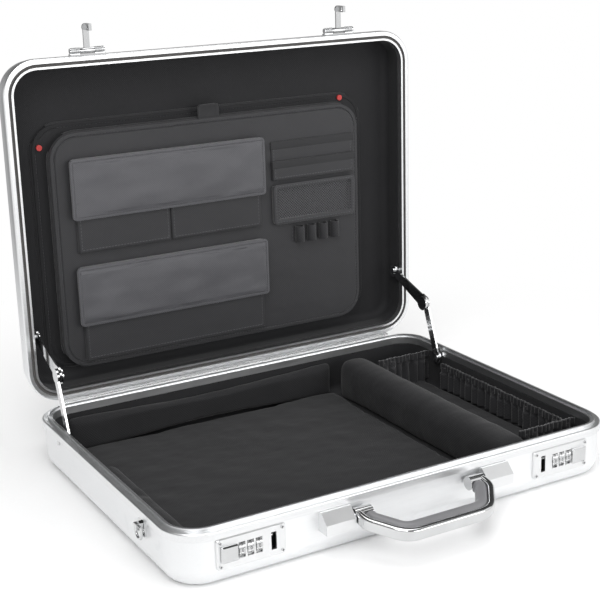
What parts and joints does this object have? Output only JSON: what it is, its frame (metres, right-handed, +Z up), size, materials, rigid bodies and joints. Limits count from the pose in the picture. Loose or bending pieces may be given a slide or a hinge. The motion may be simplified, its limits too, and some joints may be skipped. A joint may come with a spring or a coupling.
{
  "type": "aluminium attache case",
  "caption": "Aluminium attache case, open: padded laptop bay, accessory bay, lid organiser with flaps, folding stays, combination locks and a swinging handle.",
  "frame": {"origin": "centre of the base's flat underside, on the floor", "axes": "+X to the right seen from the handle side, +Y towards the hinge, +Z up"},
  "size_m": [0.4766, 0.4426, 0.434],
  "materials": {
    "brushed_aluminium": "fine satin brushed sheet",
    "frame_aluminium": "satin extruded section",
    "chrome_fittings": "polished plated fittings",
    "steel": "bright drawn steel",
    "lock_case": "black moulding",
    "rubber": "dark rubber",
    "lining": "black woven lining on board",
    "padding": "foam padding in black woven cloth",
    "nylon": "dark grey woven nylon",
    "elastic": "black elastic cloth and net",
    "studs": "red stud",
    "grip": "dark grey soft moulding"
  },
  "bodies": {
    "base": {"base_shell": "brushed_aluminium", "base_frame": "frame_aluminium", "base_liner": "lining", "laptop_floor_pad": "padding", "front_pad": "padding", "left_pad": "padding", "rear_pad": "padding", "divider_pad": "padding", "accessory_floor_pad": "padding", "elastic_pouches": "elastic", "lock_plate_left": "chrome_fittings", "lock_plate_right": "chrome_fittings", "lock_case_left": "lock_case", "lock_case_right": "lock_case", "lock_screws": "chrome_fittings", "handle_bracket_left": "chrome_fittings", "handle_bracket_right": "chrome_fittings", "hinge_base_leaf": "steel", "hinge_pin": "steel", "base_stay_pins": "chrome_fittings", "base_feet": "rubber", "strap_lug_left": "chrome_fittings", "strap_lug_right": "chrome_fittings"},
    "lid": {"lid_shell": "brushed_aluminium", "lid_frame": "frame_aluminium", "lid_seal": "rubber", "lid_liner": "lining", "hinge_lid_leaf": "steel", "lid_stay_pins": "chrome_fittings", "lid_feet": "rubber", "hasp_plate_left": "chrome_fittings", "hasp_plate_right": "chrome_fittings", "organiser_back_panel": "nylon", "organiser_gusset": "nylon", "organiser_front_panel": "nylon", "flap_pockets": "nylon", "card_pockets": "nylon", "mesh_pocket": "elastic", "pen_loops": "elastic", "organiser_studs": "studs"},
    "handle": {"handle_shell": "chrome_fittings", "handle_grip": "grip"},
    "stay_lower_left": {"stay_lower_left": "chrome_fittings"},
    "stay_upper_left": {"stay_upper_left": "chrome_fittings"},
    "hasp_left": {"hasp_left": "chrome_fittings"},
    "slide_left": {"lock_slide_left": "chrome_fittings"},
    "wheel_left_1": {"lock_wheel_left_1": "steel"},
    "wheel_left_2": {"lock_wheel_left_2": "steel"},
    "wheel_left_3": {"lock_wheel_left_3": "steel"},
    "strap_ring_left": {"strap_ring_left": "chrome_fittings"},
    "stay_lower_right": {"stay_lower_right": "chrome_fittings"},
    "stay_upper_right": {"stay_upper_right": "chrome_fittings"},
    "hasp_right": {"hasp_right": "chrome_fittings"},
    "slide_right": {"lock_slide_right": "chrome_fittings"},
    "wheel_right_1": {"lock_wheel_right_1": "steel"},
    "wheel_right_2": {"lock_wheel_right_2": "steel"},
    "wheel_right_3": {"lock_wheel_right_3": "steel"},
    "strap_ring_right": {"strap_ring_right": "chrome_fittings"},
    "upper_flap": {"upper_flap": "nylon"},
    "lower_flap": {"lower_flap": "nylon"}
  },
  "joints": [
    {"name": "lid_hinge", "type": "hinge", "parent": "base", "child": "lid", "pos_m": [0, 0.1772, 0.0522], "axis": [1, 0, 0], "range_deg": [0, 90]},
    {"name": "handle_swing", "type": "hinge", "parent": "base", "child": "handle", "pos_m": [0, -0.1797, 0.035], "axis": [1, 0, 0], "range_deg": [-87, 23]},
    {"name": "stay_lower_left_pivot", "type": "hinge", "parent": "base", "child": "stay_lower_left", "pos_m": [-0.2206, 0.1042, 0.0412], "axis": [1, 0, 0], "range_deg": [0, 102]},
    {"name": "stay_upper_left_pivot", "type": "hinge", "parent": "lid", "child": "stay_upper_left", "pos_m": [-0.218, 0.1882, 0.1252], "axis": [1, 0, 0], "range_deg": [-102, 0]},
    {"name": "hasp_left_swing", "type": "hinge", "parent": "lid", "child": "hasp_left", "pos_m": [-0.144, 0.1813, 0.408], "axis": [1, 0, 0], "range_deg": [-60, 90]},
    {"name": "slide_left_travel", "type": "slide", "parent": "base", "child": "slide_left", "axis": [-1, 0, 0], "range_m": [0, 0.003], "stiffness_N_per_m": 300},
    {"name": "wheel_left_1_turn", "type": "hinge", "parent": "base", "child": "wheel_left_1", "pos_m": [-0.158, -0.1675, 0.0297], "axis": [1, 0, 0], "continuous": true},
    {"name": "wheel_left_2_turn", "type": "hinge", "parent": "base", "child": "wheel_left_2", "pos_m": [-0.166, -0.1675, 0.0297], "axis": [1, 0, 0], "continuous": true},
    {"name": "wheel_left_3_turn", "type": "hinge", "parent": "base", "child": "wheel_left_3", "pos_m": [-0.174, -0.1675, 0.0297], "axis": [1, 0, 0], "continuous": true},
    {"name": "strap_ring_left_swing", "type": "hinge", "parent": "base", "child": "strap_ring_left", "pos_m": [-0.2353, -0.101, 0.0375], "axis": [0, 1, 0], "range_deg": [0, 140]},
    {"name": "stay_lower_right_pivot", "type": "hinge", "parent": "base", "child": "stay_lower_right", "pos_m": [0.2206, 0.1042, 0.0412], "axis": [1, 0, 0], "range_deg": [0, 102]},
    {"name": "stay_upper_right_pivot", "type": "hinge", "parent": "lid", "child": "stay_upper_right", "pos_m": [0.218, 0.1882, 0.1252], "axis": [1, 0, 0], "range_deg": [-102, 0]},
    {"name": "hasp_right_swing", "type": "hinge", "parent": "lid", "child": "hasp_right", "pos_m": [0.144, 0.1813, 0.408], "axis": [1, 0, 0], "range_deg": [-60, 90]},
    {"name": "slide_right_travel", "type": "slide", "parent": "base", "child": "slide_right", "axis": [1, 0, 0], "range_m": [0, 0.003], "stiffness_N_per_m": 300},
    {"name": "wheel_right_1_turn", "type": "hinge", "parent": "base", "child": "wheel_right_1", "pos_m": [0.158, -0.1675, 0.0297], "axis": [1, 0, 0], "continuous": true},
    {"name": "wheel_right_2_turn", "type": "hinge", "parent": "base", "child": "wheel_right_2", "pos_m": [0.166, -0.1675, 0.0297], "axis": [1, 0, 0], "continuous": true},
    {"name": "wheel_right_3_turn", "type": "hinge", "parent": "base", "child": "wheel_right_3", "pos_m": [0.174, -0.1675, 0.0297], "axis": [1, 0, 0], "continuous": true},
    {"name": "strap_ring_right_swing", "type": "hinge", "parent": "base", "child": "strap_ring_right", "pos_m": [0.2353, -0.101, 0.0375], "axis": [0, -1, 0], "range_deg": [0, 140]},
    {"name": "upper_flap_fold", "type": "hinge", "parent": "lid", "child": "upper_flap", "pos_m": [-0.061, 0.1888, 0.3004], "axis": [1, 0, 0], "range_deg": [-90, 0]},
    {"name": "lower_flap_fold", "type": "hinge", "parent": "lid", "child": "lower_flap", "pos_m": [-0.061, 0.1888, 0.1888], "axis": [1, 0, 0], "range_deg": [-90, 0]}
  ],
  "couplings": [
    {"joint": "stay_lower_left_pivot", "follows": "lid_hinge", "ratio": 1.1329},
    {"joint": "stay_upper_left_pivot", "follows": "lid_hinge", "ratio": -1.1329},
    {"joint": "stay_lower_right_pivot", "follows": "lid_hinge", "ratio": 1.1329},
    {"joint": "stay_upper_right_pivot", "follows": "lid_hinge", "ratio": -1.1329}
  ]
}
